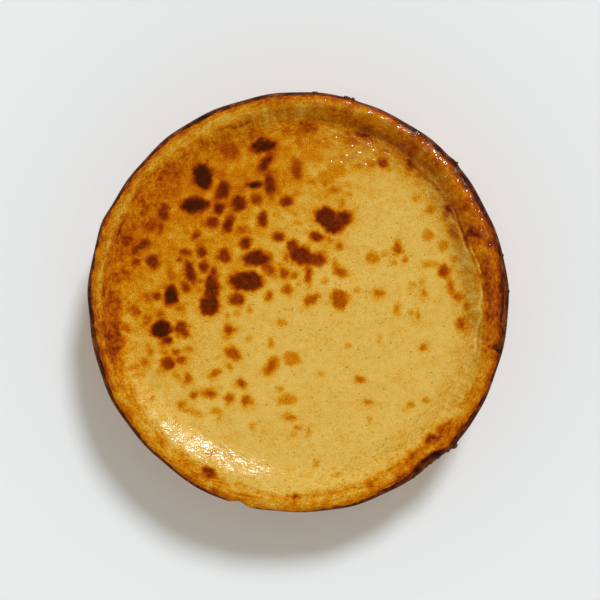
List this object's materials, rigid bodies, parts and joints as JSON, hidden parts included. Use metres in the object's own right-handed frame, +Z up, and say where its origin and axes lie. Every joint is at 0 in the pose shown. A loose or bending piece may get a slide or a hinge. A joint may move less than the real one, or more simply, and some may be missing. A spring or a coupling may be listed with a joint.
{
  "type": "cheesecake",
  "caption": "Whole uncut baked cheesecake: a low round cake with a sunken, scorch-spotted top, an uneven raised glossy rim and a dark browned side.",
  "frame": {"origin": "middle of the flat base, on the surface the cake stands on", "axes": "+Z up through the cake; +Y towards the edge that is at the top of the picture and +X towards the edge at its right"},
  "size_m": [0.2292, 0.2289, 0.0519],
  "materials": {
    "baked_skin": "moist baked custard: pale yellow and slightly glossy on top, orange-brown on the rim, with dark scorch spots and a matt near-black to brown side"
  },
  "bodies": {
    "root": {"cheesecake": "baked_skin"}
  },
  "joints": []
}
